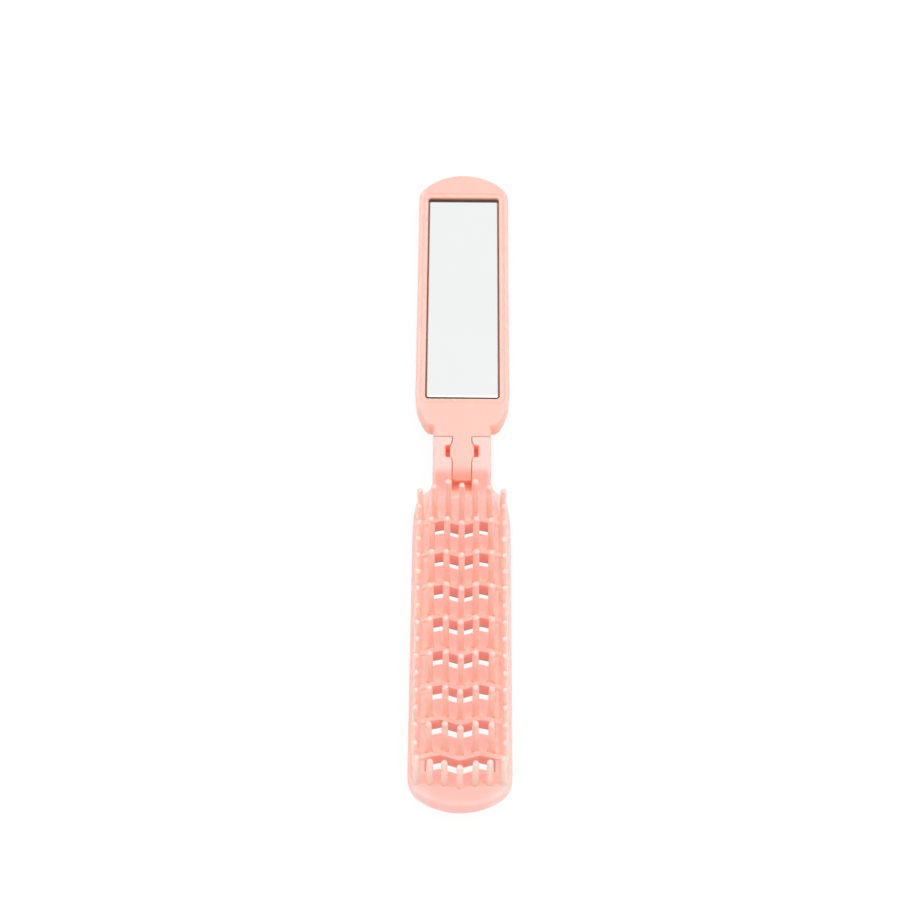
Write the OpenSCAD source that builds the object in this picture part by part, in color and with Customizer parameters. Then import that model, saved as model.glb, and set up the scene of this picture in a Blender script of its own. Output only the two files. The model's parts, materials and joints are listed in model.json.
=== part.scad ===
// Folding hairbrush with a mirror in its handle.
// The brush head and the mirror handle lie end to end when open, and the
// handle folds rearward on the hinge pin until the two backs meet.
// Everything is drawn from the pin's axis: +Y to the mirror end, +Z up along the bristles.

/* [Overall] */
// Width of the brush head and of the mirror handle
body_w = 28.3; // [26:0.1:34]
// Length from the hinge pin to the tip of the brush head
head_len = 112.8; // [111:0.1:130]
// Length from the hinge pin to the end of the mirror handle
handle_len = 105.8; // [101:0.1:125]
// Height of both faces above the pin's axis
face_h = 5.8; // [5.4:0.1:8]
// Half of the gap between the two backs when folded
back_gap = 0.15; // [0.1:0.05:0.5]
// Rounding of the long edges
edge_r = 1; // [0.4:0.1:1.4]

/* [Hinge] */
// Radius of the hinge pin
pin_r = 1; // [0.8:0.05:1.3]
// Radius of the barrel around the pin
barrel_r = 2.6; // [2.3:0.1:3]
// Width of the neck, which is the width over both ears
neck_w = 17.2; // [15:0.1:20]
// Distance from the pin to the ends of the ears
ear_len = 5; // [4:0.1:5.5]
// Gap between the ears and the handle's end
end_gap = 0.2; // [0.15:0.05:0.5]
// Width of the handle's tongue
tongue_w = 5.6; // [5:0.1:6.5]
// Distance from the pin to the free end of the tongue's tail
tail_len = 10.3; // [8:0.1:11.5]
// Thickness of the tongue's tail at the barrel
tail_t = 2.4; // [1.8:0.1:2.8]
// Thickness of the tail at its free end
tail_tip_t = 0.9; // [0.7:0.1:1.6]
// Radius of the free end's corners
tail_corner_r = 1; // [0.5:0.1:1.4]
// Radius of the round knuckles on the tongue's sides
knuckle_r = 6.5; // [6.3:0.1:6.8]
// How far each knuckle stands out of the tongue
knuckle_h = 0.6; // [0.3:0.05:0.7]
// Width of the bevel around a knuckle
knuckle_bevel = 0.75; // [0.4:0.05:1]
// Gap between the tongue and the walls of its slot
slot_gap = 0.15; // [0.1:0.05:0.3]
// Gap between the barrel of the tongue and the end of its slot
web_gap = 0.4; // [0.3:0.05:0.6]
// Gap between the tail and the slot's floor
floor_gap = 0.3; // [0.2:0.05:0.5]
// Distance of the relief pockets' outer walls from the tongue's sides
pocket_w = 2; // [1.3:0.05:2.5]
// Length of the relief pockets
pocket_len = 4.2; // [3:0.1:5]
// Wall left between a relief pocket and the pin's bore
pocket_wall = 0.6; // [0.5:0.05:1]
// Radius of the finger scoop behind the tail
scoop_r = 7; // [5:0.1:8]
// Radial clearance of the tongue on the pin
pin_run = 0.05; // [0.02:0.01:0.1]
// Radial clearance of the pin in the ears
pin_seat = 0.02; // [0.01:0.01:0.04]
// How far the pin's ends lie inside the ears
pin_inset = 0.2; // [0.1:0.05:0.5]

/* [Brush head] */
// Rise of the head's back from the shoulder to the tip
tip_rise = 0.2; // [0:0.1:2]
// Length of the rounded tip
tip_round = 9.5; // [9:0.1:13]
// Radius of the rounded tip's corners
tip_corner_r = 7.4; // [6:0.1:8.5]
// Distance from the pin to the foot of the neck
neck_len = 10.6; // [8:0.1:11]
// Radius of the hollow corner between neck and shoulder
shoulder_fillet = 4.6; // [3:0.1:5]
// Radius of the shoulder's long curve
shoulder_r = 52; // [40:1:70]
// Distance from the pin to where the head has its full width
shoulder_end = 28; // [26:0.5:34]
// Width of the rails on both sides of the sunken field
rail_w = 3.15; // [2.6:0.05:3.6]
// Depth of the sunken field below the face
field_depth = 1.3; // [1:0.1:2.4]
// Distance from the pin to the start of the sunken field
field_start = 16.6; // [16:0.1:18]
// Length of the slope down into the sunken field
field_slope = 4.4; // [1:0.1:4.6]

/* [Vents and ribs] */
// Half of a vent's length across the head
vent_half = 9.1; // [8:0.1:9.8]
// Width of a vent
vent_w = 3.4; // [2:0.1:4]
// Width of the zigzag rib behind each row of pins
rib_w = 1.4; // [1:0.05:2.2]
// Distance of the zigzag's peaks from the centre line
zig_x = 5.4; // [4.5:0.1:6.5]
// Height of the zigzag's peaks
zig_h = 1.7; // [0.5:0.1:2.2]
// Fall of the zigzag for each millimetre beyond its peaks
zig_fall = 0.225; // [0.1:0.005:0.3]
// How far the last row stands ahead of the others' even spacing
last_ahead = 0.8; // [0:0.1:1.2]
// Height of the last row's bow where the zigzag would have its peaks
last_bow_h = 0.85; // [0.3:0.05:1.5]
// Rise of that bow for each millimetre further out
last_bow_rise = 0.03; // [0:0.01:0.15]

/* [Bristle pins] */
// Distance from the hinge pin to the first row
first_row = 23.45; // [22.5:0.05:24]
// Distance from the head's tip to the place that even spacing gives the last row
last_row_in = 5.1; // [4.6:0.1:6]
// Distance of the inner pins from the centre line
inner_x = 4.1; // [3.5:0.05:4.6]
// Distance of the outer pins from the centre line
outer_x = 8.4; // [7.5:0.05:8.8]
// Distance of the first row's inner pins from the centre line
first_inner_x = 3.8; // [3.5:0.1:4.6]
// Distance of the first and last rows' outer pins from the centre line
end_outer_x = 7.9; // [7:0.1:8.4]
// Distance from the head's outline to the edge pins
edge_in = 2.15; // [1.8:0.05:2.2]
// How much closer together the edge pins of the head's outer half stand
edge_close = 0.13; // [0:0.01:0.2]
// Radius of a pin at its root
root_r = 0.94; // [0.7:0.02:0.96]
// Radius of a pin at its round end
tip_r = 0.84; // [0.5:0.02:0.9]
// Height of the pins above the face
pin_h = 16; // [12:0.1:20]
// Extra height of the first row's three middle pins
first_extra = 3; // [0:0.1:4]
// How much shorter the last row's pins are
last_short = 2.3; // [0:0.1:4]
// How much shorter still its middle pin is
last_dip = 1.3; // [0:0.1:3]
// Play between a pin's root and the rib behind it
root_play = 0.05; // [0.02:0.01:0.1]

/* [Mirror handle] */
// Length of the rounded end
end_round = 9.2; // [8:0.1:12]
// Radius of the rounded end's corners
end_corner_r = 4.8; // [4:0.1:7]
// Radius of the long curve towards the hinge
waist_r = 21; // [19:0.5:26]
// Angle through which that curve runs
waist_angle = 30; // [24:1:34]
// Radius of the small corner where that curve ends
heel_r = 3; // [1.6:0.1:3.4]
// Distance from the pin to where the handle has its full width
waist_end = 20.8; // [19:0.1:22]
// Length of the mirror glass
glass_l = 75.5; // [60:0.1:76]
// Width of the mirror glass
glass_w = 21.5; // [18:0.1:22]
// Thickness of the mirror glass
glass_t = 1.2; // [0.8:0.1:1.6]
// Distance from the pin to the glass
glass_start = 20; // [19.6:0.1:21]
// Gap at the long edges of the glass
glass_gap = 0.45; // [0.1:0.05:0.6]
// Gap at the short edges of the glass
glass_end_gap = 1.1; // [0.3:0.1:1.4]
// Radius of the glass corners
glass_corner = 0.5; // [0.3:0.1:1]
// Depth of the glass below the shelf around it
glass_sink = 0.7; // [0.3:0.1:2]
// Thickness of the adhesive tape
tape_t = 0.4; // [0.2:0.05:0.6]
// Distance from the tape's edges to the glass edges
tape_in = 2; // [1:0.1:4]
// Width of the shelf around the glass
shelf_w = 1.85; // [1.2:0.05:1.9]
// Width of the slope down to the shelf
shelf_slope = 0.7; // [0.2:0.1:1]
// Depth of the shelf below the face
shelf_depth = 0.35; // [0.2:0.05:0.6]
// Radius of the shelf's corners
shelf_corner = 1.4; // [0.8:0.1:3]

/* [Hidden] */

pink = [0.98, 0.77, 0.72];
clear_pink = [0.99, 0.85, 0.81];
peach = [1.0, 0.82, 0.76];

// Cuts run past the faces they open by this much, and points this close to a line lie on it.
over = 1;
tiny = 0.01;
// A flat face that would only touch the barrel from outside runs into it by this much.
barrel_in = 0.1;
// The underside of the tongue lies this far above the flat backs.
tongue_rise = 0.15;
arc_steps = 10;
corner_steps = 5;
round_steps = 4;

// One node is named for each row, so their number stays as it is.
rows = 9;
row_pitch = (head_len - first_row - last_row_in) / (rows - 1);
half_w = body_w / 2;
block_y = ear_len + end_gap;
slot_half = tongue_w / 2 + slot_gap;
knuckle_half = tongue_w / 2 + knuckle_h;
web_y = barrel_in - barrel_r;
web_z = back_gap + tongue_rise;
slot_y = -barrel_r - web_gap;
tail_z = face_h - tail_t;
slot_floor = tail_z - floor_gap;
floor_z = face_h - field_depth;
heel_drop = waist_r * sin(waist_angle) + heel_r * (1 - sin(waist_angle));
heel_y = waist_end - heel_drop;
pocket_near = glass_start - glass_end_gap;
pocket_far = glass_start + glass_l + glass_end_gap;
pocket_half = glass_w / 2 + glass_gap;
shelf_z = face_h - shelf_depth;
glass_z = shelf_z - glass_sink - glass_t;
tape_z = glass_z - tape_t;

module at_hinge() {
    translate([0, (head_len - handle_len) / 2, barrel_r]) children();
}

// Points on an arc about (cx, cy) from angle a0 to angle a1.
function arc(cx, cy, r, a0, a1, steps = arc_steps) =
    [for (i = [0:steps]) let (a = a0 + (a1 - a0) * i / steps) [cx + r * cos(a), cy + r * sin(a)]];

// A list without its first point, to join arcs end to end.
function rest(points) = [for (i = [1:len(points) - 1]) points[i]];

function reversed(points) = [for (i = [len(points) - 1:-1:0]) points[i]];

// The same points on the other side of the centre line, in reverse order.
function mirrored(points) = [for (p = reversed(points)) [-p[0], p[1]]];

// A closed outline from its right half, which may start or end on the centre line.
function closed(right) = concat(right, [for (p = mirrored(right)) if (p[0] < -tiny) p]);

// Right half of a flattened round end that points to -Y, with its far point at -reach:
// a corner arc that runs smoothly into one wide arc.
function half_end(reach, rise, corner_r, inset) =
    let (wide_r = (pow(half_w - corner_r, 2) + pow(rise, 2) - pow(corner_r, 2)) / (2 * (rise - corner_r)),
         turn = atan2(wide_r - rise, half_w - corner_r),
         spring = -reach + rise)
    concat(arc(half_w - corner_r, spring, corner_r - inset, 0, -turn),
           rest(arc(0, spring + wide_r - rise, wide_r - inset, -turn, -90)));

// Half width of the shoulder's long curve at a distance from the pin.
function shoulder_x(y) = half_w - shoulder_r + sqrt(pow(shoulder_r, 2) - pow(y + shoulder_end, 2));

// Right half of the shoulder, from the neck's foot to the full width.
function shoulder_half(inset) =
    let (start = asin((shoulder_end - neck_len - shoulder_fillet) / shoulder_r))
    arc(half_w - shoulder_r, -shoulder_end, shoulder_r - inset, start, 0);

function head_points(inset) =
    closed(concat(shoulder_half(inset), half_end(head_len, tip_round, tip_corner_r, inset)));

// The rounded end of the handle is the same shape turned round, so its points run the other way.
function handle_points(inset) =
    let (heel_x = half_w - waist_r + (waist_r - heel_r) * cos(waist_angle),
         heel = arc(heel_x, heel_y + heel_r, heel_r - inset, -waist_angle, -90, corner_steps),
         waist = arc(half_w - waist_r, waist_end, waist_r - inset, 0, -waist_angle),
         end = [for (p = reversed(half_end(handle_len, end_round, end_corner_r, inset))) [p[0], -p[1]]])
    closed(concat(end, waist, rest(heel)));

function bend(x, height, slope) =
    abs(x) < zig_x ? height * abs(x) / zig_x : height + (abs(x) - zig_x) * slope;

// The line that row k's pins stand on: a zigzag, and in the last row a bow.
function row_line(k, x) = -first_row - (k - 1) * row_pitch
    + (k == rows ? last_ahead + bend(x, last_bow_h, last_bow_rise) : bend(x, zig_h, -zig_fall));

// Places of row k's pins across the head.
function row_places(k) =
    let (inner = k == 1 ? first_inner_x : inner_x, outer = k == 1 || k == rows ? end_outer_x : outer_x)
    [-outer, -inner, 0, inner, outer];

// The same line at a given distance behind the pins, from left to right.
function zig_edge(k, behind, half) =
    [for (x = [-half, -zig_x, 0, zig_x, half]) [x, row_line(k, x) - behind]];

function zig_band(k, near, far, half) =
    concat(zig_edge(k, near, half), [for (i = [4:-1:0]) zig_edge(k, far, half)[i]]);

function rounded_box(half_x, low_y, high_y, r) =
    concat(arc(half_x - r, low_y + r, r, -90, 0, corner_steps),
           arc(half_x - r, high_y - r, r, 0, 90, corner_steps),
           arc(r - half_x, high_y - r, r, 90, 180, corner_steps),
           arc(r - half_x, low_y + r, r, 180, 270, corner_steps));

// A solid through rings of points that lie one above the other, each run clockwise from above.
module lofted(rings) {
    n = len(rings[0]);
    last = len(rings) - 1;
    walls = [for (r = [0:last - 1], i = [0:n - 1])
        let (j = (i + 1) % n) [r * n + i, r * n + j, (r + 1) * n + j, (r + 1) * n + i]];
    foot = [for (i = [n - 1:-1:0]) i];
    lid = [for (i = [0:n - 1]) last * n + i];
    polyhedron(points = [for (ring = rings, p = ring) p], faces = concat([foot], walls, [lid]));
}

// A flat body with rounded rims. Its back may climb towards -Y by a slope.
module rounded_slab(kind, slope = 0) {
    foot = [for (i = [round_steps:-1:0]) let (a = 90 * i / round_steps)
        [for (p = outline(kind, edge_r * (1 - cos(a))))
            [p[0], p[1], back_gap + edge_r * (1 - sin(a)) - slope * (p[1] + neck_len)]]];
    rim = [for (i = [0:round_steps]) let (a = 90 * i / round_steps)
        [for (p = outline(kind, edge_r * (1 - cos(a)))) [p[0], p[1], face_h - edge_r * (1 - sin(a))]]];
    lofted(concat(foot, rim));
}

function outline(kind, inset) = kind == "head" ? head_points(inset) : handle_points(inset);

// A bar of the neck's section, with rounded long edges, between two places along Y.
module neck_bar(low_y, high_y) {
    translate([0, high_y, 0]) rotate([90, 0, 0]) linear_extrude(high_y - low_y)
        polygon(rounded_box(neck_w / 2, back_gap, face_h, edge_r));
}

module across(r, width) {
    rotate([0, 90, 0]) cylinder(h = width, r = r, center = true, $fn = 64);
}

// A side profile drawn in Y and Z, as wide as given.
module side_profile(points, width) {
    rotate([90, 0, 90]) translate([0, 0, -width / 2]) linear_extrude(width) polygon(points);
}

// The hollow corners between neck and shoulder, with the same rounded rims as the slab.
module neck_fillets() {
    corner_y = -neck_len - shoulder_fillet;
    corner_x = shoulder_x(corner_y);
    rim = [for (i = [0:corner_steps]) let (a = 90 * i / corner_steps)
        [shoulder_fillet + edge_r * (1 - cos(a)), face_h - edge_r * (1 - sin(a))]];
    foot = [for (p = reversed(rim)) [p[0], back_gap + face_h - p[1]]];
    hollow = concat([[0, back_gap - over], [foot[0][0], back_gap - over]], foot, rim,
                    [[rim[corner_steps][0], face_h + over], [0, face_h + over]]);
    for (side = [0, 1]) mirror([side, 0, 0]) difference() {
        translate([neck_w / 2 - edge_r, corner_y - edge_r, back_gap])
            cube([corner_x - neck_w / 2 + edge_r, shoulder_fillet + edge_r, face_h - back_gap]);
        translate([neck_w / 2 + shoulder_fillet, -neck_len, 0]) rotate_extrude($fn = 64) polygon(hollow);
    }
}

module tongue_plan() {
    half = tongue_w / 2;
    polygon(closed(concat(arc(half - tail_corner_r, tail_corner_r - tail_len, tail_corner_r, -90, 0),
                          [[half, block_y + over]])));
}

// The round knuckles on both sides of the tongue, or the seats for them with a play all round.
module knuckles(play) {
    for (side = [0, 1]) mirror([side, 0, 0]) rotate([0, 90, 0]) {
        cylinder(h = tongue_w / 2 + play, r = knuckle_r + play, $fn = 96);
        translate([0, 0, tongue_w / 2 + play])
            cylinder(h = knuckle_h, r1 = knuckle_r + play, r2 = knuckle_r - knuckle_bevel + play, $fn = 96);
    }
}

// The tongue's slot, which is open all through at the pin and has a floor under the tail.
module slot_cut() {
    cut_top = face_h + over;
    cut_foot = -barrel_r - over;
    intersection() {
        union() {
            side_profile([[-tail_len, cut_foot], [-tail_len, cut_top], [ear_len + over, cut_top],
                          [ear_len + over, cut_foot]], 2 * slot_half);
            knuckles(slot_gap);
        }
        side_profile([[slot_y, cut_foot], [slot_y, slot_floor], [-tail_len, slot_floor],
                      [-tail_len, cut_top], [ear_len + over, cut_top], [ear_len + over, cut_foot]], body_w);
    }
    translate([0, -tail_len, slot_floor + scoop_r]) across(scoop_r, 2 * slot_half);
}

module pockets() {
    for (side = [0, 1]) mirror([side, 0, 0])
        translate([slot_half, -pocket_len / 2, pin_r + pin_seat + pocket_wall])
            cube([tongue_w / 2 + pocket_w - slot_half, pocket_len, face_h]);
}

// The sunken field, with the ribs and the end plateau left standing in it. The last row's pins
// stand in round notches of the plateau's edge.
module field_cut() {
    top = face_h + over;
    difference() {
        intersection() {
            linear_extrude(top) {
                polygon(head_points(rail_w));
                translate([rail_w - half_w, -head_len])
                    square([body_w - 2 * rail_w, head_len - shoulder_end]);
            }
            side_profile([[-field_start, top], [-field_start, face_h],
                          [-field_start - field_slope, floor_z], [-head_len, floor_z],
                          [-head_len, top]], body_w);
        }
        linear_extrude(face_h) for (k = [1:rows - 1])
            polygon(zig_band(k, root_r + root_play, root_r + root_play + rib_w, half_w));
        linear_extrude(face_h) difference() {
            polygon(concat(zig_edge(rows, 0, half_w), [[half_w, -head_len], [-half_w, -head_len]]));
            for (x = row_places(rows))
                translate([x, row_line(rows, x)]) circle(root_r + root_play, $fn = 32);
        }
    }
}

module vents() {
    near = root_r + root_play + rib_w;
    translate([0, 0, -over]) linear_extrude(face_h + 2 * over) for (k = [1:rows - 1])
        polygon(zig_band(k, near, near + vent_w, vent_half));
}

module brush_head() {
    color(pink) at_hinge() difference() {
        union() {
            rounded_slab("head", tip_rise / (head_len - neck_len));
            neck_bar(-neck_len - shoulder_fillet - over, ear_len);
            neck_fillets();
            across(barrel_r, neck_w);
        }
        slot_cut();
        pockets();
        across(pin_r + pin_seat, neck_w + 2 * over);
        field_cut();
        vents();
    }
}

module bristle(x, y, root_z, top_z) {
    translate([x, y, root_z]) {
        cylinder(h = top_z - tip_r - root_z, r1 = root_r, r2 = tip_r, $fn = 32);
        translate([0, 0, top_z - tip_r - root_z]) sphere(tip_r, $fn = 32);
    }
}

// What the pin at x in row k has over the even height of the others.
function extra_h(k, x) =
    k == 1 ? (abs(x) < end_outer_x ? first_extra : 0)
    : k < rows ? 0
    : x == 0 ? -last_short - last_dip : -last_short;

module bristle_row(k) {
    color(clear_pink) at_hinge() for (x = row_places(k))
        bristle(x, row_line(k, x), floor_z, face_h + pin_h + extra_h(k, x));
}

// Half width of the head at a distance from the pin.
function head_half(y) =
    y > -shoulder_end ? shoulder_x(y)
    : y > tip_round - head_len ? half_w
    : half_w - tip_corner_r + sqrt(pow(tip_corner_r, 2) - pow(y + head_len - tip_round, 2));

// The edge pins stand on a rail, first at every row and midway between the rows, then
// a little closer together, and the last one follows the bow of the last row.
module edge_bristles(side) {
    count = 2 * rows - 1;
    color(clear_pink) at_hinge() for (i = [0:count - 1]) {
        y = i < count - 1 ? -first_row - i * row_pitch / 2 + edge_close * max(0, i - rows + 1)
            : row_line(rows, half_w - edge_in);
        bristle(side * (head_half(y) - edge_in), y, face_h, face_h + pin_h);
    }
}

// Outline of the shelf's foot, grown all round by a given width. It runs clockwise from above.
function shelf_ring(grow, z) =
    [for (p = reversed(rounded_box(pocket_half + shelf_w - shelf_slope + grow,
                                   pocket_near - shelf_w + shelf_slope - grow,
                                   pocket_far + shelf_w - shelf_slope + grow, shelf_corner + grow)))
        [p[0], p[1], z]];

module mirror_handle() {
    color(peach) at_hinge() difference() {
        union() {
            rounded_slab("handle");
            neck_bar(block_y, heel_y + heel_r);
            intersection() {
                union() {
                    translate([0, 0, -barrel_r]) linear_extrude(face_h + barrel_r) tongue_plan();
                    knuckles(0);
                }
                side_profile([[block_y + over, web_z], [block_y + over, face_h], [-tail_len, face_h],
                              [-tail_len, face_h - tail_tip_t], [web_y, tail_z], [web_y, web_z]], body_w);
            }
            across(barrel_r, 2 * knuckle_half);
        }
        across(pin_r + pin_run, neck_w);
        lofted([shelf_ring(0, shelf_z), shelf_ring(shelf_slope, face_h),
                shelf_ring(shelf_slope, face_h + over)]);
        translate([0, 0, tape_z]) linear_extrude(face_h)
            polygon(rounded_box(pocket_half, pocket_near, pocket_far, glass_corner + glass_gap));
    }
}

module mirror_glass() {
    color("white") at_hinge() translate([0, 0, glass_z]) linear_extrude(glass_t)
        polygon(rounded_box(glass_w / 2, glass_start, glass_start + glass_l, glass_corner));
}

module mirror_tape() {
    color("gray") at_hinge() translate([0, 0, tape_z]) linear_extrude(tape_t)
        polygon(rounded_box(glass_w / 2 - tape_in, glass_start + tape_in,
                            glass_start + glass_l - tape_in, glass_corner));
}

module hinge_pin() {
    color("silver") at_hinge() across(pin_r, neck_w - 2 * pin_inset);
}

brush_head();
bristle_row(1);  // bristle_row_1
bristle_row(2);  // bristle_row_2
bristle_row(3);  // bristle_row_3
bristle_row(4);  // bristle_row_4
bristle_row(5);  // bristle_row_5
bristle_row(6);  // bristle_row_6
bristle_row(7);  // bristle_row_7
bristle_row(8);  // bristle_row_8
bristle_row(9);  // bristle_row_9
edge_bristles(-1);  // edge_bristles_left
edge_bristles(1);  // edge_bristles_right
mirror_handle();
mirror_glass();
mirror_tape();
hinge_pin();
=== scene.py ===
# %% [markdown]
# # A folding hairbrush with a mirror in its handle
#
# The construction already exists as solids: a vented head, its rows of pins,
# a handle with a mirror, and a hinge pin. This lesson dresses them. It opens
# the solids as a fixed frame, sets the camera, makes every piece a surface of
# nodes, softens the mouldings, draws the pins as turned shapes, and ends with
# a white floor, a light tent and a soft lamp.

import json
import math
import random

import bmesh
import bpy
from mathutils import Matrix, Vector


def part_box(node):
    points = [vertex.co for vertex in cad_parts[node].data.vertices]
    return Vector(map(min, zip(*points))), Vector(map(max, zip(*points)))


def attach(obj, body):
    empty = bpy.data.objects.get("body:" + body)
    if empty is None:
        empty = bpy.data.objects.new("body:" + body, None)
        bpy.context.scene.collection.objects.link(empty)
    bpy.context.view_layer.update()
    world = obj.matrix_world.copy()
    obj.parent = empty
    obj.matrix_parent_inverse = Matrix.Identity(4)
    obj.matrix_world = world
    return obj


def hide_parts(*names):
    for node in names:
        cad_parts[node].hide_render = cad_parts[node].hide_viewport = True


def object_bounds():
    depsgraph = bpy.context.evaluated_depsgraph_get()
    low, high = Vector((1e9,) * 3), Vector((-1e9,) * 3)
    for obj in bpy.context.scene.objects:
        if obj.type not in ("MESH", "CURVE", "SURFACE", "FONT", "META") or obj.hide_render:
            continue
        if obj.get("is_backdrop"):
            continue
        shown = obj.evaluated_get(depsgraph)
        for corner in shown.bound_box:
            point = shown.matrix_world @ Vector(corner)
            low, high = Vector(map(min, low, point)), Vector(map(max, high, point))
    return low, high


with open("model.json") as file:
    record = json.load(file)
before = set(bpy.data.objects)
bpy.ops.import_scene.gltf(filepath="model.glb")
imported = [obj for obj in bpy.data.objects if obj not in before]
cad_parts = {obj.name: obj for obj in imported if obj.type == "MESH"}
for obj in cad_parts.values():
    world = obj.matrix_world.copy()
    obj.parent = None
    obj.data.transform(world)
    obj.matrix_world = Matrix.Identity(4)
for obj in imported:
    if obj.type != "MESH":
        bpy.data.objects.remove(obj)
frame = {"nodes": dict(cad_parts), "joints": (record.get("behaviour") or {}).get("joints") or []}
solids_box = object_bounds()
nodes = frame["nodes"]
MM = 0.001


def in_mm(vector):
    """A size or place in whole and tenth millimetres, for printing."""
    return [round(value / MM, 1) for value in vector]


print("solids:", len(nodes), "pieces, size in mm", in_mm(solids_box[1] - solids_box[0]))

# %% [markdown]
# ## The camera
#
# The brush lies on its back, and the camera looks down on it from the head's
# end, from about two thirds of a metre away through a long lens. A long lens
# keeps the far end nearly as wide as the near end. The camera is described
# by the point it aims at, its distance, its height angle and a small turn, so
# each of these can be changed alone.

# %% Camera
HINGE = Vector(frame["joints"][0]["pos_m"])
FACE_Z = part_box("mirror_handle")[1].z
IMAGE_PIXELS = 900
FOCAL_PIXELS = 2140
SENSOR = 36.0
NEAREST, FARTHEST = 0.01, 20.0
AIM_X, AIM_PAST_HINGE = -3.55 * MM, 0.2 * MM
AIM = Vector((AIM_X, HINGE.y + AIM_PAST_HINGE, FACE_Z))
DISTANCE = 630.8 * MM
HEIGHT_ANGLE = math.radians(57.0)
TURN = math.radians(0.49)


def point_camera():
    data = bpy.data.cameras.new("camera")
    data.sensor_width = SENSOR
    data.lens = SENSOR * FOCAL_PIXELS / IMAGE_PIXELS
    data.clip_start, data.clip_end = NEAREST, FARTHEST
    camera = bpy.data.objects.new("camera", data)
    bpy.context.scene.collection.objects.link(camera)
    flat = math.cos(HEIGHT_ANGLE)
    back = Vector((math.sin(TURN) * flat, -math.cos(TURN) * flat, math.sin(HEIGHT_ANGLE)))
    camera.location = AIM + back * DISTANCE
    camera.rotation_mode = "QUATERNION"
    camera.rotation_quaternion = (-back).to_track_quat("-Z", "Y")
    bpy.context.scene.camera = camera
    return camera


print("camera lens in mm:", round(point_camera().data.lens, 1))

# %% [markdown]
# ## Shader maths as plain expressions
#
# Every finish below is a small graph of nodes. Writing `1 - mask` is easier
# to read than making a Math node and two links, so one class wraps a socket
# and turns the usual operators into Math nodes. Anything that isn't a plain
# sum goes through one method, which takes a node's type, its settings and
# what goes into its sockets. A socket is named, or numbered where several on
# a node share a name.


# %% A wire that can be added and multiplied
class Wire:
    """One output socket. Operators on it add Math nodes to its material."""

    def __init__(self, bench, socket):
        self.bench = bench
        self.socket = socket

    def maths(self, operation, first, second, third=0.0):
        return self.bench.add("Math", {"operation": operation}, {0: first, 1: second, 2: third})

    def __add__(self, other):
        return self.maths("ADD", self, other)

    def __radd__(self, other):
        return self.maths("ADD", other, self)

    def __sub__(self, other):
        return self.maths("SUBTRACT", self, other)

    def __rsub__(self, other):
        return self.maths("SUBTRACT", other, self)

    def __mul__(self, other):
        return self.maths("MULTIPLY", self, other)

    def __rmul__(self, other):
        return self.maths("MULTIPLY", other, self)

    def __truediv__(self, other):
        return self.maths("DIVIDE", self, other)

    def __rtruediv__(self, other):
        return self.maths("DIVIDE", other, self)

    def __abs__(self):
        return self.maths("ABSOLUTE", self, 0.0)

    def repeated(self, length):
        """Counts up to length and starts at 0 again, over and over."""
        return self.maths("WRAP", self, length)

    def span(self, low, high):
        """0 below low, 1 above high and a smooth rise between them."""
        return self.bench.add("MapRange", {"interpolation_type": "SMOOTHSTEP"},
                              {"Value": self, "From Min": low, "From Max": high})


print("reflected operators:", [name for name in vars(Wire) if name.startswith("__r")])


# %% A bench on which a finish is wired up
class Bench:
    """The node tree of one material or world, with a method that adds any node."""

    def __init__(self, owner):
        owner.use_nodes = True
        self.owner = owner
        self.tree = owner.node_tree
        self.tree.nodes.clear()

    def add(self, kind, settings=None, inputs=None, out=0):
        node = self.tree.nodes.new("ShaderNode" + kind)
        for name, value in (settings or {}).items():
            if name == "stops":
                self.set_stops(node, value)
            else:
                setattr(node, name, value)
        for name, value in (inputs or {}).items():
            self.feed(node.inputs[name], value)
        return Wire(self, node.outputs[out]) if node.outputs else None

    def set_stops(self, node, stops):
        ramp = node.color_ramp.elements
        while len(ramp) < len(stops):
            ramp.new(1.0)
        for element, (place, level) in zip(ramp, stops):
            element.position = place
            element.color = (level, level, level, 1)

    def feed(self, socket, value):
        if isinstance(value, Wire):
            self.tree.links.new(value.socket, socket)
        elif socket.type == "RGBA":
            socket.default_value = (*value, 1)
        else:
            socket.default_value = value

    def axis(self, kind, letter):
        """One part of a place ("Object") or of the way that a face looks ("Normal")."""
        return self.add("SeparateXYZ", None, {"Vector": self.add("TexCoord", out=kind)}, out=letter)

    def noise(self, place, scale, detail):
        return self.add("TexNoise", None, {"Vector": place, "Scale": scale, "Detail": detail})

    def blend(self, share, first, second):
        """A colour that is `first` where share is 0 and `second` where it is 1."""
        return self.add("Mix", {"data_type": "RGBA"}, {0: share, 6: first, 7: second}, out=2)

    def finish(self, shader, target="OutputMaterial"):
        self.add(target, None, {"Surface": shader})
        return self.owner


def new_bench(name):
    return Bench(bpy.data.materials.new(name))


print("what a bench can do:", [name for name in vars(Bench) if not name.startswith("_")])

# %% [markdown]
# ## Clear satin plastic
#
# All the plastic of the brush is a little clear, like wax. Light enters it,
# wanders for a millimetre or two and comes out redder. Subsurface scattering
# does that: its radius is longest for red. The head, the handle and the pins
# share this one shader and differ in what is fed to it.

# %% The shader of all the plastic
SCATTER_RADIUS = (1.0, 0.42, 0.30)
SCATTER_SCALE = 1.5 * MM
REFRACTION = 1.48
BUMP_DEPTH = 0.02 * MM


def clear_satin(bench, colour, roughness, grain, bump, glow, glow_strength):
    return bench.finish(bench.add("BsdfPrincipled", None, {
        "Base Color": colour,
        "Roughness": roughness,
        "Normal": bench.add("Bump", None, {"Strength": bump, "Distance": BUMP_DEPTH, "Height": grain}),
        "IOR": REFRACTION,
        "Subsurface Weight": 1.0,
        "Subsurface Radius": SCATTER_RADIUS,
        "Subsurface Scale": SCATTER_SCALE,
        "Emission Color": glow,
        "Emission Strength": glow_strength,
    }))


print("light wanders in mm:", in_mm(SCATTER_SCALE * radius for radius in SCATTER_RADIUS))

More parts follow.
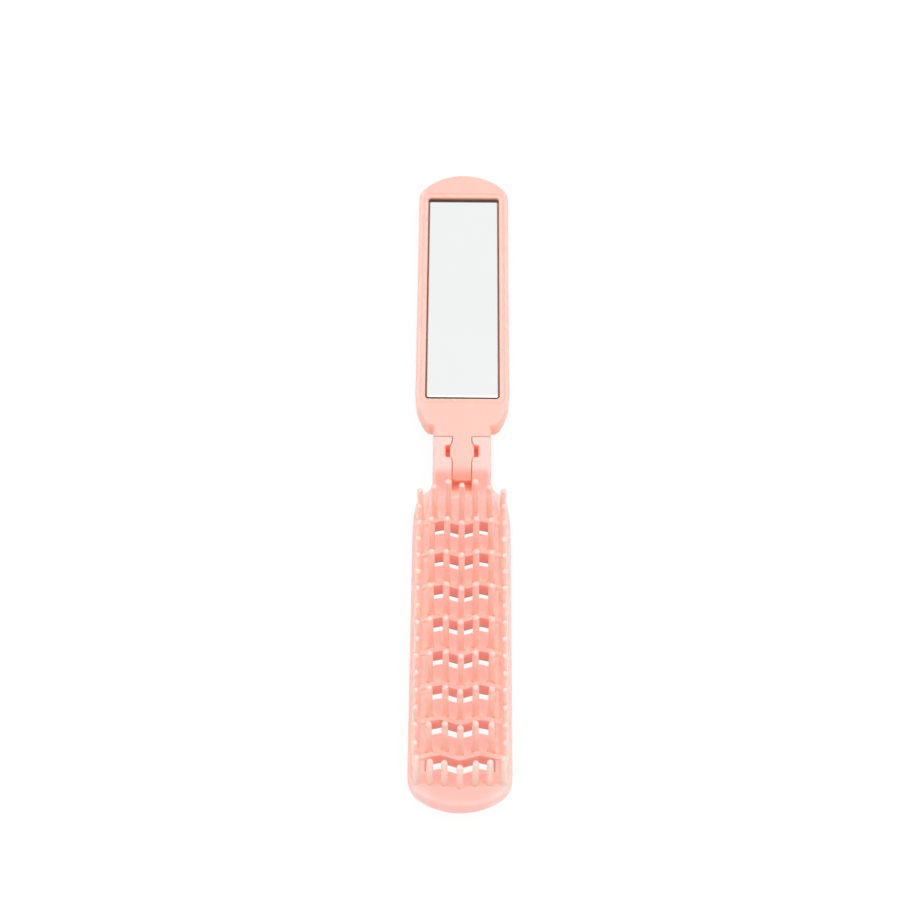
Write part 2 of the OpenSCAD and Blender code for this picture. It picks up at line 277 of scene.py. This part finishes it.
# %% [markdown]
# ## Two mouldings of different thickness
#
# The head and the handle are injection moulded. Besides the wandering light,
# three things make the colour of a clear moulding:
#
# - where it is thick, the colour is deeper than at its edges, and the same
#   mask deepens it further as painted shade at the head's neck, round the
#   mirror and at the end of the handle's tongue;
# - in a hollow the colour is painted darker and redder, as painted shade and
#   as light that takes on the colour at each bounce, where an Ambient
#   Occlusion node finds how open a point is, and walls there get the darker
#   colour of painted shade;
# - a narrow gap or pocket isn't black, as light reaches it through the wall,
#   and a weak painted glow there stands in for that light.
#
# Faint cloudiness and a very fine bump keep large faces from looking like
# flat paint. One recipe serves both mouldings. It takes five colours and a
# function that tells, from the place on the piece, where its colour deepens
# for thickness and painted shade, where its openness is lowered to paint more
# shade and glow, where it is level, where a painted glow stands in for light
# through its walls, and where painted shade lines darken it.

# %% Recipe of a moulding
BLACK = (0.0, 0.0, 0.0)
LIGHT_THROUGH_WALLS = (0.600, 0.110, 0.065)
OPENNESS_RAYS = 16
NOT_SHUT, HALF_OPEN, FULLY_OPEN = (0.0, 0.2), (0.08, 0.5), (0.3, 0.85)
CLOUD_TINT, CLOUD_ROUGHNESS = 0.12, 0.10
GRAIN_BUMP = 0.12


def moulded_plastic(name, colours, places, reach, roughness, glow):
    """Walls shelter a point from light when they stand nearer to it than reach."""
    bench = new_bench(name)
    across, along, height = (bench.axis("Object", letter) for letter in "XYZ")
    where = places(abs(across), along - HINGE.y, height, bench.axis("Normal", "Z"))
    openness = where["uncovered"] * bench.add("AmbientOcclusion", {"samples": OPENNESS_RAYS},
                                              {"Distance": reach}, out="AO")
    not_shut, half_open, fully_open = (openness.span(*limits) for limits in (NOT_SHUT, HALF_OPEN, FULLY_OPEN))
    place = bench.add("TexCoord", out="Object")
    cloud = bench.noise(place, scale=90.0, detail=3.0)
    grain = bench.noise(place, scale=2600.0, detail=2.0)
    # Painted shade: where a point is closed in, the colour turns to the shaded colour, and on walls to the
    # darker hollow colour.
    closed_colour = bench.blend(half_open * where["level"], colours["hollow"], colours["shaded"])
    open_colour = bench.blend(where["thick"], colours["edge"], colours["core"])
    colour = bench.blend(fully_open, closed_colour, open_colour)
    colour = bench.blend(CLOUD_TINT * cloud * half_open, colour, colours["shaded"])
    # Painted shade lines.
    colour = bench.blend(where["line"], colour, colours["line"])
    # Painted glow in the hollows, and a redder painted glow where light comes through the walls.
    inner_light = bench.blend(glow * (1 - where["line"]), BLACK, closed_colour)
    inner_light = bench.blend(where["lit"], inner_light, LIGHT_THROUGH_WALLS)
    inner_light = bench.blend(not_shut * (1 - fully_open), BLACK, inner_light)
    roughness = roughness + CLOUD_ROUGHNESS * cloud
    return clear_satin(bench, colour, roughness, grain, GRAIN_BUMP, inner_light, glow_strength=1.0)


print("openness is measured with", OPENNESS_RAYS, "rays")

# %% [markdown]
# ## Masks from places
#
# A mask is a number from 0 to 1 all over a piece. The masks here are cut from
# the place on the piece, in millimetres, so they turn with it when the brush
# folds. Each soft edge is a pair: where it starts and where it ends. A band
# has three numbers: from, to, and how wide its soft edges are.


# %% Soft edges and bands
def rise(place, start, end):
    """0 before start and 1 after end."""
    return place.span(start * MM, end * MM)


def fall(place, start, end):
    """1 before start and 0 after end."""
    return 1 - rise(place, start, end)


def band(place, low, high, fade):
    """1 from low to high and 0 further out than fade from them."""
    return rise(place, low - fade, low) * fall(place, high, high + fade)


LEVEL_FACE = (0.25, 0.85)
steep_slope, gentle_slope = (round(math.degrees(math.acos(limit))) for limit in LEVEL_FACE)
print("a wall slopes by more than", steep_slope, "degrees, a level face by less than", gentle_slope)

# %% [markdown]
# ## The head's plastic
#
# The solid neck has the deepest colour, partly for its thick plastic and
# partly as painted shade and bounced light from the first row of pins, and
# the rim round the pockets beside the tongue gets the same deep colour. The
# handle's tail covers the slot behind the hinge, and its shade is painted
# there, while the slot's lip gets painted shade and glow. The pockets beside
# the tongue get a painted glow for the light through their walls. In the
# vented field, painted shade lines mark the narrow feet of the walls and ends
# of the vents, and a little painted shade from the last row of pins lies on
# the end wall. Inner walls are painted darker than level faces, as painted
# shade. A texture could be painted for all this, but masks cut from places
# need no painting and stay sharp.

# %% Places near the hinge
NECK_START, NECK_THINS, NECK_SIDE, NECK_THINNING = (5.0, 9.0), (11.0, 17.0), (6.8, 9.4), 0.65
POCKET, POCKET_END = (3.5, 5.1, 0.3), (2.3, 2.7)
POCKET_RIM, POCKET_RIM_END = (3.6, 4.9, 0.9), (1.5, 2.4)
SLOT_SIDE, SLOT_LENGTH, SLOT_LIP = (2.9, 3.3), (10.0, 16.6, 0.8), (14.4, 16.0, 0.8)
TAIL_SHADE_START, TAIL_SHADE_END = (9.0, 10.0), (11.2, 15.0)


def neck_depth_and_shade(across, behind):
    """Where the colour deepens: the neck, for its thick plastic and as painted shade from the pins, and round
    the pockets.
    """
    # The neck's deep colour is partly painted shade and bounced light from the first row of pins.
    neck = rise(behind, *NECK_START) * (1 - NECK_THINNING * rise(behind, *NECK_THINS))
    neck = neck * fall(across, *NECK_SIDE)
    rim = band(across, *POCKET_RIM) * fall(abs(behind), *POCKET_RIM_END)
    return neck + rim * (1 - neck)


def tail_shade(slot, behind):
    return slot * rise(behind, *TAIL_SHADE_START) * fall(behind, *TAIL_SHADE_END)


print("the slot's shade ends", TAIL_SHADE_END[1], "mm behind the hinge")

# %% Places in the vented field
EARLY_ROW, LATE_ROW = 2, 8
early_y, late_y = (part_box(f"bristle_row_{number}")[0].y for number in (EARLY_ROW, LATE_ROW))
VENT_PITCH = (early_y - late_y) / (LATE_ROW - EARLY_ROW)
FIRST_VENT = 24.6 * MM
HEAD_BACK_Z = HINGE.z + 0.15 * MM
# Painted shade lines at the narrow ends of the vents and the feet of their walls, and painted shade by the
# last row.
VENT_END_SIDE, VENT_END_LENGTH, VENT_ENDS = (9.25, 9.45, 0.3), (0.9, 3.8, 0.6), (25.0, 102.0, 0.5)
VENT_END_DARK, FAR_VENT_DARKER, FAR_VENTS = 0.4, 0.25, (90.0, 97.0)
WALL_FOOT, WALL_FOOT_SIDE, WALL_FEET = (0.3, 0.9), (9.6, 10.2), (24.0, 103.0, 0.5)
LAST_ROW, LAST_ROW_SIDE, LAST_ROW_DARK = (103.2, 106.8, 0.6), (10.0, 11.6), 0.12


def field_lines(across, behind, height, wall):
    """Painted shade lines at the vents' ends and the walls' feet, and painted shade by the last row."""
    in_vent = (behind - FIRST_VENT).repeated(VENT_PITCH)
    vent_end = band(across, *VENT_END_SIDE) * band(in_vent, *VENT_END_LENGTH) * band(behind, *VENT_ENDS)
    vent_end = (VENT_END_DARK + FAR_VENT_DARKER * rise(behind, *FAR_VENTS)) * vent_end
    foot = wall * fall(height - HEAD_BACK_Z, *WALL_FOOT) * fall(across, *WALL_FOOT_SIDE)
    last_row = LAST_ROW_DARK * band(behind, *LAST_ROW) * fall(across, *LAST_ROW_SIDE)
    return foot * band(behind, *WALL_FEET) + vent_end + last_row


print("vents repeat every", round(VENT_PITCH / MM, 2), "mm, like the rows of pins")

# %% Plastic of the head
# Painted shade under the handle's tail, and painted glow and shade on the slot's lip.
TAIL_COVER, LIP_GLOW_AND_SHADE, TAIL_DARK = 0.6, 0.35, 0.3
INNER_WALL = (8.9, 9.6)
# Edge and core are the plastic's own colours, core also standing in for painted shade at the neck; shaded and
# hollow are painted shade, and the last colour is for painted shade lines.
HEAD_COLOURS = {
    "edge": (0.960, 0.610, 0.570),
    "core": (0.970, 0.390, 0.325),
    "shaded": (0.960, 0.550, 0.460),
    "hollow": (0.765, 0.195, 0.115),
    "line": (0.450, 0.170, 0.130),
}


def head_places(across, along, height, upward):
    behind = 0.0 - along
    slot = fall(across, *SLOT_SIDE)
    shade = tail_shade(slot, behind)
    # Painted shade: inner walls take the darker hollow colour where they are closed in.
    wall = 1 - upward.span(*LEVEL_FACE)
    steep = wall * fall(across, *INNER_WALL) * (1 - slot * band(behind, *SLOT_LENGTH))
    return {
        "thick": neck_depth_and_shade(across, behind),
        # Lower openness here paints the tail's shade in the slot, and shade and glow on its lip.
        "uncovered": 1 - TAIL_COVER * shade - LIP_GLOW_AND_SHADE * slot * band(behind, *SLOT_LIP),
        "level": 1 - steep,
        # Painted glow in the pockets beside the tongue.
        "lit": band(across, *POCKET) * fall(abs(behind), *POCKET_END),
        "line": field_lines(across, behind, height, wall) + TAIL_DARK * shade,
    }


head_plastic = moulded_plastic("satin_pink_head", HEAD_COLOURS, head_places,
                               reach=5.0 * MM, roughness=0.34, glow=0.35)
print("plastic of the head:", len(head_plastic.node_tree.nodes), "nodes")

# %% [markdown]
# ## The handle's plastic
#
# The handle is a flat shell, paler and more even than the head. The end of
# its tongue, which lies over the solid neck and curves down to it, is painted
# deeper as painted shade, and a weak painted glow near the hinge stands in for
# light through the walls. The slope round the mirror gets a little painted
# shade. The recess's far wall mirrors itself in the glass, and a thin line of
# painted shade lies at its foot, by the glass.

# %% Plastic of the handle
GLASS_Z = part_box("mirror_glass")[1].z
SHELL_DEPTH, SHELL_SIDE = 0.15, (10.0, 13.5)
TONGUE_END_SHADE = (4.0, 9.5)
SLOPE_FACE, SLOPE_SHADE, SLOPE_SIDE, SLOPE_END = (0.90, 0.98), 0.22, (12.8, 13.2), (98.0, 99.0)
FAR_WALL, FAR_WALL_SIDE, FAR_WALL_FOOT = (95.0, 97.0, 0.5), (11.3, 11.8), (-0.40, -0.05)
HINGE_LIGHT, HINGE_LIGHT_END = 0.4, (5.0, 8.0)
# Edge and core are the plastic's own colours, core also standing in for painted shade at the slope and the
# tongue's end; shaded and hollow are painted shade, and the last colour is for the painted shade line.
HANDLE_COLOURS = {
    "edge": (0.975, 0.595, 0.530),
    "core": (0.975, 0.320, 0.230),
    "shaded": (0.965, 0.500, 0.400),
    "hollow": (0.480, 0.320, 0.240),
    "line": (0.210, 0.155, 0.120),
}


def handle_places(across, along, height, upward):
    level = upward.span(*LEVEL_FACE)
    shell = SHELL_DEPTH * fall(across, *SHELL_SIDE)
    # Painted shade: the slope round the mirror and the curved end of the tongue get a deeper colour.
    slope = (1 - upward.span(*SLOPE_FACE)) * fall(across, *SLOPE_SIDE) * fall(along, *SLOPE_END)
    tail = rise(0.0 - along, *TONGUE_END_SHADE)
    # Painted shade line at the foot of the recess's far wall, by the glass.
    far_wall = (1 - level) * band(along, *FAR_WALL) * fall(across, *FAR_WALL_SIDE)
    return {
        "thick": shell + SLOPE_SHADE * slope + tail * (1 - shell),
        "uncovered": 1.0,
        "level": level,
        # Painted glow near the hinge stands in for light through the walls.
        "lit": HINGE_LIGHT * fall(along, *HINGE_LIGHT_END),
        "line": far_wall * fall(height - GLASS_Z, *FAR_WALL_FOOT),
    }


handle_plastic = moulded_plastic("satin_peach_handle", HANDLE_COLOURS, handle_places,
                                 reach=2.0 * MM, roughness=0.30, glow=0.15)
print("plastic of the handle:", len(handle_plastic.node_tree.nodes), "nodes")

# %% [markdown]
# ## The pins' plastic
#
# The pins are of the same family of plastic, but clearer, and they look
# palest at their round ends, where light enters from all around. A mix along
# the height does that. Light from the head shines up into their feet, which a
# weak glow stands in for. The last row stands against the end wall and gets
# less light, so the feet are greyer there.

# %% Plastic of the pins
FIELD_Z, PIN_TOP_Z = (corner.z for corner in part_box("bristle_row_2"))
PIN_FOOT, PIN_TIP, LAST_PIN_FOOT = (0.985, 0.600, 0.500), (0.960, 0.620, 0.560), (0.780, 0.570, 0.500)
PALENESS = [(0.0, 0.0), (0.75, 0.4), (1.0, 1.0)]
LAST_PINS = (103.0, 106.0)
PIN_GLOW, PIN_GLOW_STRENGTH = (0.780, 0.780, 0.660), 0.20
PIN_ROUGHNESS, PIN_CLOUD_ROUGHNESS, PIN_BUMP = 0.32, 0.08, 0.1


def pin_plastic():
    bench = new_bench("clear_pink_pins")
    up = (bench.axis("Object", "Z") - FIELD_Z) / (PIN_TOP_Z - FIELD_Z)
    pale = bench.add("ValToRGB", {"stops": PALENESS}, {"Fac": up})
    last_pins = rise(HINGE.y - bench.axis("Object", "Y"), *LAST_PINS)
    colour = bench.blend(pale, bench.blend(last_pins, PIN_FOOT, LAST_PIN_FOOT), PIN_TIP)
    cloud = bench.noise(bench.add("TexCoord", out="Object"), scale=300.0, detail=2.0)
    roughness = PIN_ROUGHNESS + PIN_CLOUD_ROUGHNESS * cloud
    glow = bench.blend(pale, PIN_GLOW, BLACK)
    return clear_satin(bench, colour, roughness, cloud, PIN_BUMP, glow, PIN_GLOW_STRENGTH)


pins_plastic = pin_plastic()
print("pins change colour over", round((PIN_TOP_Z - FIELD_Z) / MM, 1), "mm")

# %% [markdown]
# ## Mirror, edge, tape and steel
#
# A glass mirror is silvered behind and shows its surroundings almost
# unchanged, so it is a metal with hardly any roughness. Faint wipe marks in
# the roughness keep it from looking computed. The cut edge of the glass looks
# nearly black, because the light that enters it never comes back. The tape is
# dull foam with small cells, and the steel pin has fine lines along it from
# the die that it was drawn through. All four are one colour that a pattern
# moves a little lighter and darker, so one function serves them.


# %% Mirror and small parts
def two_tone(bench, pattern, low, high, metallic, roughness):
    return bench.finish(bench.add("BsdfPrincipled", None, {
        "Base Color": bench.blend(pattern, low, high), "Metallic": metallic, "Roughness": roughness}))


def silvered_glass():
    bench = new_bench("silvered_glass")
    wipes = bench.noise(bench.add("TexCoord", out="Object"), scale=35.0, detail=4.0)
    return two_tone(bench, wipes, low=(0.865, 0.885, 0.88), high=(0.90, 0.91, 0.905),
                    metallic=1.0, roughness=0.015 + 0.03 * wipes)


# The same dark finish is painted on the mirror's far ground rim as a painted dark reflection.
def cut_edge_and_dark_reflection():
    bench = new_bench("cut_edge_and_dark_reflection")
    chips = bench.noise(bench.add("TexCoord", out="Object"), scale=1800.0, detail=2.0)
    return two_tone(bench, chips, low=(0.035, 0.03, 0.03), high=(0.10, 0.085, 0.08),
                    metallic=0.0, roughness=0.25 + 0.3 * chips)


def foam_tape():
    bench = new_bench("foam_tape")
    place = bench.add("TexCoord", out="Object")
    cells = bench.add("TexVoronoi", None, {"Vector": place, "Scale": 1500.0}, out="Distance")
    return two_tone(bench, cells, low=(0.16, 0.16, 0.17), high=(0.30, 0.30, 0.31),
                    metallic=0.0, roughness=0.9)


def drawn_steel():
    bench = new_bench("drawn_steel")
    place = bench.add("TexCoord", out="Object")
    stretched = bench.add("Mapping", None, {"Vector": place, "Scale": (60.0, 4000.0, 4000.0)})
    lines = bench.noise(stretched, scale=1.0, detail=3.0)
    return two_tone(bench, lines, low=(0.50, 0.50, 0.52), high=(0.66, 0.66, 0.68),
                    metallic=1.0, roughness=0.22 + 0.2 * lines)


silver, glass_edge, tape_foam, steel = silvered_glass(), cut_edge_and_dark_reflection(), foam_tape(), drawn_steel()
print("small finishes:", silver.name, glass_edge.name, tape_foam.name, steel.name)

# %% [markdown]
# ## Where the pins stand
#
# The pins are read from the solids: their axes, feet and tops. The highest
# point of a pin lies on its axis, so when the points are taken from the top
# down, each new axis is found at once, and every later point near it belongs
# to the same pin.

# %% Find the pins
ROOT_R, TIP_R = 0.94 * MM, 0.84 * MM
SAME_PIN = 1.3 * ROOT_R


def solid_pins(node):
    """Axis, foot and top of each separate pin in a node."""
    columns = {}
    for point in sorted((vertex.co for vertex in nodes[node].data.vertices), key=lambda co: -co.z):
        for x, y in columns:
            if math.hypot(point.x - x, point.y - y) < SAME_PIN:
                columns[(x, y)].append(point.z)
                break
        else:
            columns[(point.x, point.y)] = [point.z]
    return sorted((x, y, min(heights), max(heights)) for (x, y), heights in columns.items())


pins_of = {name: solid_pins(name) for name in sorted(nodes) if "bristle" in name}
print("pins:", sum(len(pins) for pins in pins_of.values()), "in", len(pins_of), "nodes")

# %% [markdown]
# ## Softened mouldings
#
# No edge of a moulding is truly sharp. The solids of the head and the handle
# have their main roundings, but their slots, ribs and pockets end in sharp
# edges. Bevelling such a mesh edge by edge would fail at the many short
# edges, so a copy is rebuilt from fine voxels, smoothed a little, which
# rounds every edge by the same small radius, and then thinned where it is
# flat. The head gets a short stub at each pin's foot first, so the smoothing
# also makes the small fillet from which a moulded pin rises.


# %% Add a piece to the brush
def new_piece(name, mesh, materials, body, replaced):
    """A piece that moves with a body and takes the place of solids."""
    piece = bpy.data.objects.new(name, mesh)
    bpy.context.scene.collection.objects.link(piece)
    for material in materials:
        mesh.materials.append(material)
    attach(piece, body)
    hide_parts(*replaced)
    return piece


# %% Stubs at the pins' feet
STUB_RISE = 0.25 * MM
STUB_SINK = 0.3 * MM
STUB_SIDES = 20


def add_stubs(mesh):
    """Cylinders that the voxels melt into the head."""
    shape = bmesh.new()
    shape.from_mesh(mesh)
    for x, y, foot, _ in (pin for pins in pins_of.values() for pin in pins):
        low = foot - STUB_SINK
        # A stub in the sunken field ends just under the face, and one on a rail just over it.
        high = max(foot, FACE_Z - 2 * STUB_RISE) + STUB_RISE
        bmesh.ops.create_cone(shape, cap_ends=True, segments=STUB_SIDES, radius1=ROOT_R, radius2=ROOT_R,
                              depth=high - low, matrix=Matrix.Translation((x, y, (low + high) / 2)))
    shape.to_mesh(mesh)
    shape.free()


print("stubs stand", round(STUB_RISE / MM, 2), "mm over the rails")

# %% Soften the mouldings
VOXEL = 0.18 * MM
PULL_TO_NEIGHBOURS = 0.5


def softened(node, rounds, keep, stubs=False):
    """A copy from voxels, smoothed in rounds, that keeps a share of its faces."""
    work = bpy.data.objects.new("work", nodes[node].data.copy())
    work.data.materials.clear()
    if stubs:
        add_stubs(work.data)
    bpy.context.scene.collection.objects.link(work)
    remesh = work.modifiers.new("voxels", "REMESH")
    remesh.mode = "VOXEL"
    remesh.voxel_size = VOXEL
    smooth = work.modifiers.new("soften", "SMOOTH")
    smooth.factor = PULL_TO_NEIGHBOURS
    smooth.iterations = rounds
    thin = work.modifiers.new("thin", "DECIMATE")
    thin.ratio = keep
    view = work.evaluated_get(bpy.context.evaluated_depsgraph_get())
    mesh = bpy.data.meshes.new_from_object(view)
    bpy.data.objects.remove(work)
    mesh.shade_smooth()
    return mesh


head_mesh = softened("brush_head", rounds=5, keep=0.38, stubs=True)
new_piece("head_moulding", head_mesh, [head_plastic], "head", ["brush_head"])
handle_mesh = softened("mirror_handle", rounds=4, keep=0.4)
new_piece("handle_moulding", handle_mesh, [handle_plastic], "handle", ["mirror_handle"])
print("faces: head", len(head_mesh.polygons), "handle", len(handle_mesh.polygons))

# %% [markdown]
# ## Turned pins
#
# A pin is a turned shape: a slightly tapered shank and a ball end. One
# profile is spun round for every pin, at the place and height of its solid.
# Each pin leans by a fraction of a degree, as pins do after they leave the
# mould.

# %% The outline of a pin
BALL_RINGS = 8


def pin_profile(height):
    """Radius and height of the pin's outline, from the root to the ball's top."""
    ball = []
    for i in range(BALL_RINGS):
        turn = math.pi / 2 * i / BALL_RINGS
        ball.append((TIP_R * math.cos(turn), height - TIP_R + TIP_R * math.sin(turn)))
    return [(ROOT_R, 0.0)] + ball


print("points on a pin's outline:", len(pin_profile(PIN_TOP_Z - FIELD_Z)))

# %% Spin the pins
PIN_SIDES = 24
LEAN = math.radians(0.35)


def tube_faces(first, rings, sides):
    """Faces between rings of points that are numbered one after the other."""
    faces = []
    for ring in range(rings - 1):
        start = first + ring * sides
        for side in range(sides):
            a, b = start + side, start + (side + 1) % sides
            faces.append((a, b, b + sides, a + sides))
    return faces


def spin_pins(name, pins, chance):
    verts, faces = [], []
    for x, y, foot, top in pins:
        profile = pin_profile(top - foot)
        lean_x, lean_y = chance.uniform(-LEAN, LEAN), chance.uniform(-LEAN, LEAN)
        base = len(verts)
        for radius, z in profile:
            for side in range(PIN_SIDES):
                turn = 2 * math.pi * side / PIN_SIDES
                verts.append((x + radius * math.cos(turn) + lean_x * z,
                              y + radius * math.sin(turn) + lean_y * z, foot + z))
        tip = len(verts)
        verts.append((x + lean_x * (top - foot), y + lean_y * (top - foot), top))
        last = tip - PIN_SIDES
        faces += tube_faces(base, len(profile), PIN_SIDES)
        faces += [(last + side, last + (side + 1) % PIN_SIDES, tip) for side in range(PIN_SIDES)]
        faces.append([base + side for side in reversed(range(PIN_SIDES))])
    mesh = bpy.data.meshes.new(name)
    mesh.from_pydata(verts, [], faces)
    mesh.shade_smooth()
    return mesh


for number, (node, pins) in enumerate(pins_of.items()):
    mesh = spin_pins("pins_of_" + node, pins, random.Random(number))
    new_piece("pins_of_" + node, mesh, [pins_plastic], "head", [node])
print("sets of turned pins:", len(pins_of))

# %% [markdown]
# ## The mirror glass
#
# The glass is a thin plate with its front rim ground off at a shallow angle.
# The plate is built from three rings of points, so the front and its ground
# rim can be silvered while the sides get the dark look of a cut edge. The rim
# at the far end of the handle leans towards the recess's wall and mirrors
# only the dark gap there, so the dark look is painted on it as a painted
# reflection.

# %% Glass plate
GLASS_CORNER, SMALLEST_CORNER = 0.5 * MM, 0.05 * MM
GRIND_WIDTH, GRIND_DEPTH = 0.35 * MM, 0.15 * MM
CORNER_STEPS = 6
LOOKS_FAR = 0.3
SILVERED, DARK = 0, 1


def plate_ring(low, high, inset, z):
    """Points round a rectangle with rounded corners, at one height."""
    ring = []
    radius = max(GLASS_CORNER - inset, SMALLEST_CORNER)
    for number, (side_x, side_y) in enumerate([(1, 1), (-1, 1), (-1, -1), (1, -1)]):
        centre_x = (high.x if side_x > 0 else low.x) - side_x * (inset + radius)
        centre_y = (high.y if side_y > 0 else low.y) - side_y * (inset + radius)
        for step in range(CORNER_STEPS + 1):
            turn = math.pi / 2 * (number + step / CORNER_STEPS)
            ring.append((centre_x + radius * math.cos(turn), centre_y + radius * math.sin(turn), z))
    return ring


def glass_plate():
    low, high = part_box("mirror_glass")
    rings = [plate_ring(low, high, 0, low.z), plate_ring(low, high, 0, high.z - GRIND_DEPTH),
             plate_ring(low, high, GRIND_WIDTH, high.z)]
    count = len(rings[0])
    faces = tube_faces(0, len(rings), count)
    faces.append([2 * count + i for i in range(count)])
    faces.append([i for i in reversed(range(count))])
    mesh = bpy.data.meshes.new("mirror_plate")
    mesh.from_pydata([point for ring in rings for point in ring], [], faces)
    for face in mesh.polygons:
        # Painted reflection: the far ground rim gets the dark edge material.
        far_rim_dark_reflection = face.index < 2 * count and face.normal.y > LOOKS_FAR
        face.material_index = DARK if face.index < count or far_rim_dark_reflection else SILVERED
    return mesh


plate = new_piece("mirror_plate", glass_plate(), [silver, glass_edge], "handle",
                  ["mirror_glass"])
print("mirror plate in mm:", in_mm(plate.dimensions))

# %% [markdown]
# ## Pieces that keep their solids
#
# The tape lies under the glass and the pin runs through the hinge. Both are
# plain shapes in reality, so they keep their solids and get a finish.

# %% Tape and pin
for node, material, slot in (("mirror_tape", tape_foam, "tape"), ("hinge_pin", steel, "pin_steel")):
    nodes[node].data.materials.clear()
    nodes[node].data.materials.append(material)
    print("dressed solid:", node)

# %% [markdown]
# ## Floor, world and lamp
#
# The brush is shown on plain white. The light on it comes from a world that
# is bright overhead and weaker near the horizon, like a light tent, and from
# one wide soft lamp above the head's end. What the camera sees behind the
# object is made white by the Light Path node, and not by more light, so the
# plastic keeps its colour. The floor keeps a faint shadow.

# %% Light tent
WHITE = (1.0, 1.0, 1.0)
OVERHEAD_LIGHT, HORIZON_LIGHT = 1.15, 0.34
HORIZON_TO_OVERHEAD = (0.1, 0.8)


def seen_directly(bench):
    """1 for what the camera sees itself or as a reflection, and 0 for light on the object."""
    return bench.add("LightPath", out="Is Camera Ray") + bench.add("LightPath", out="Is Glossy Ray")


def white_world():
    world = bpy.data.worlds.new("studio")
    bpy.context.scene.world = world
    bench = Bench(world)
    seen = seen_directly(bench) + bench.add("LightPath", out="Is Transmission Ray")
    overhead = bench.axis("Generated", "Z").span(*HORIZON_TO_OVERHEAD)
    low = bench.add("Background", None, {"Color": WHITE, "Strength": HORIZON_LIGHT})
    high = bench.add("Background", None, {"Color": WHITE, "Strength": OVERHEAD_LIGHT})
    light = bench.add("MixShader", None, {0: overhead, 1: low, 2: high})
    shown = bench.add("Background", None, {"Color": WHITE, "Strength": 1.0})
    return bench.finish(bench.add("MixShader", None, {0: seen, 1: light, 2: shown}), "OutputWorld")


print("world:", white_world().name)

# %% Floor with a faint shadow
PAPER = (0.95, 0.95, 0.95)
FLOOR_HALF = 3.0
FLOOR_DROP = 0.3 * MM
SHADOW_SHARE = 0.08


def white_floor():
    mesh = bpy.data.meshes.new("floor")
    corners = [(-1, -1), (1, -1), (1, 1), (-1, 1)]
    mesh.from_pydata([(x * FLOOR_HALF, y * FLOOR_HALF, 0) for x, y in corners], [], [(0, 1, 2, 3)])
    floor = bpy.data.objects.new("floor", mesh)
    bpy.context.scene.collection.objects.link(floor)
    floor.location.z = -FLOOR_DROP
    bench = new_bench("white_floor")
    paper = bench.add("BsdfDiffuse", None, {"Color": PAPER})
    white = bench.add("Emission", None, {"Color": WHITE, "Strength": 1.0})
    share = (1 - SHADOW_SHARE) * seen_directly(bench)
    mesh.materials.append(bench.finish(bench.add("MixShader", None, {0: share, 1: paper, 2: white})))
    floor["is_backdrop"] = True
    return floor


print("floor of", white_floor().dimensions.x, "m")

# %% Lamp
LAMP_WATTS = 1.75
LAMP_PLACE = (0.12, -0.25, 0.70)
LAMP_WIDTH = 0.5


def soft_lamp():
    data = bpy.data.lights.new("soft_lamp", "AREA")
    data.shape = "DISK"
    data.size = LAMP_WIDTH
    data.energy = LAMP_WATTS
    lamp = bpy.data.objects.new("soft_lamp", data)
    bpy.context.scene.collection.objects.link(lamp)
    lamp.location = LAMP_PLACE
    lamp.rotation_mode = "QUATERNION"
    lamp.rotation_quaternion = (-lamp.location).to_track_quat("-Z", "Y")
    return lamp


bpy.context.scene.view_settings.view_transform = "Standard"
print("lamp above the brush in m:", round(soft_lamp().location.z, 2))

# %% [markdown]
# ## Sizes
#
# The sizes of the solids and of the dressed brush are both printed.

# %% Finish
dressed_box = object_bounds()
print("dressed size in mm:", in_mm(dressed_box[1] - dressed_box[0]))
